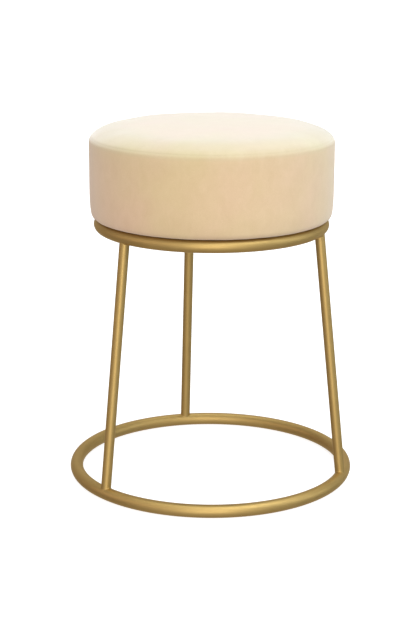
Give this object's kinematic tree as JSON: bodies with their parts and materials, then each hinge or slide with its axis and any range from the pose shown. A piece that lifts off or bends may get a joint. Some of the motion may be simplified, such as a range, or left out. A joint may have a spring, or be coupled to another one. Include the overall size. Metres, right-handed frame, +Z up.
{
  "type": "vanity stool",
  "caption": "Round velvet-covered vanity stool: drum-shaped padded seat bolted to a gold tube frame with a small upper ring, a larger floor ring and splayed legs.",
  "frame": {"origin": "centre of the footprint, on the floor", "axes": "+Z up; the rear leg stands at +Y and the two front legs at 210 and 330 degrees from +X, so the stool is the same on its -X and +X sides"},
  "size_m": [0.3684, 0.3684, 0.4554],
  "materials": {
    "gold_steel": "satin",
    "zinc_steel": "satin",
    "plywood": "matte",
    "pine": "matte",
    "foam": "matte",
    "velvet": "matte",
    "nonwoven": "matte"
  },
  "bodies": {
    "root": {"base_ring": "gold_steel", "top_ring": "gold_steel", "leg_rear": "gold_steel", "leg_front_left": "gold_steel", "leg_front_right": "gold_steel", "seat_lug_rear_right": "gold_steel", "seat_lug_rear_left": "gold_steel", "seat_lug_front": "gold_steel", "seat_bolt_rear_right": "zinc_steel", "seat_washer_rear_right": "zinc_steel", "tee_nut_rear_right": "zinc_steel", "seat_bolt_rear_left": "zinc_steel", "seat_washer_rear_left": "zinc_steel", "tee_nut_rear_left": "zinc_steel", "seat_bolt_front": "zinc_steel", "seat_washer_front": "zinc_steel", "tee_nut_front": "zinc_steel", "spacer_block_1": "pine", "block_screw_1": "zinc_steel", "spacer_block_2": "pine", "block_screw_2": "zinc_steel", "spacer_block_3": "pine", "block_screw_3": "zinc_steel", "spacer_block_4": "pine", "block_screw_4": "zinc_steel", "spacer_block_5": "pine", "block_screw_5": "zinc_steel", "spacer_block_6": "pine", "block_screw_6": "zinc_steel", "seat_base_board": "plywood", "seat_hoop": "plywood", "seat_top_board": "plywood", "seat_cover": "velvet", "side_foam": "foam", "top_foam": "foam", "dust_cover": "nonwoven", "staple_01": "zinc_steel", "staple_02": "zinc_steel", "staple_03": "zinc_steel", "staple_04": "zinc_steel", "staple_05": "zinc_steel", "staple_06": "zinc_steel", "staple_07": "zinc_steel", "staple_08": "zinc_steel", "staple_09": "zinc_steel", "staple_10": "zinc_steel", "staple_11": "zinc_steel", "staple_12": "zinc_steel", "staple_13": "zinc_steel", "staple_14": "zinc_steel", "staple_15": "zinc_steel"}
  },
  "joints": []
}
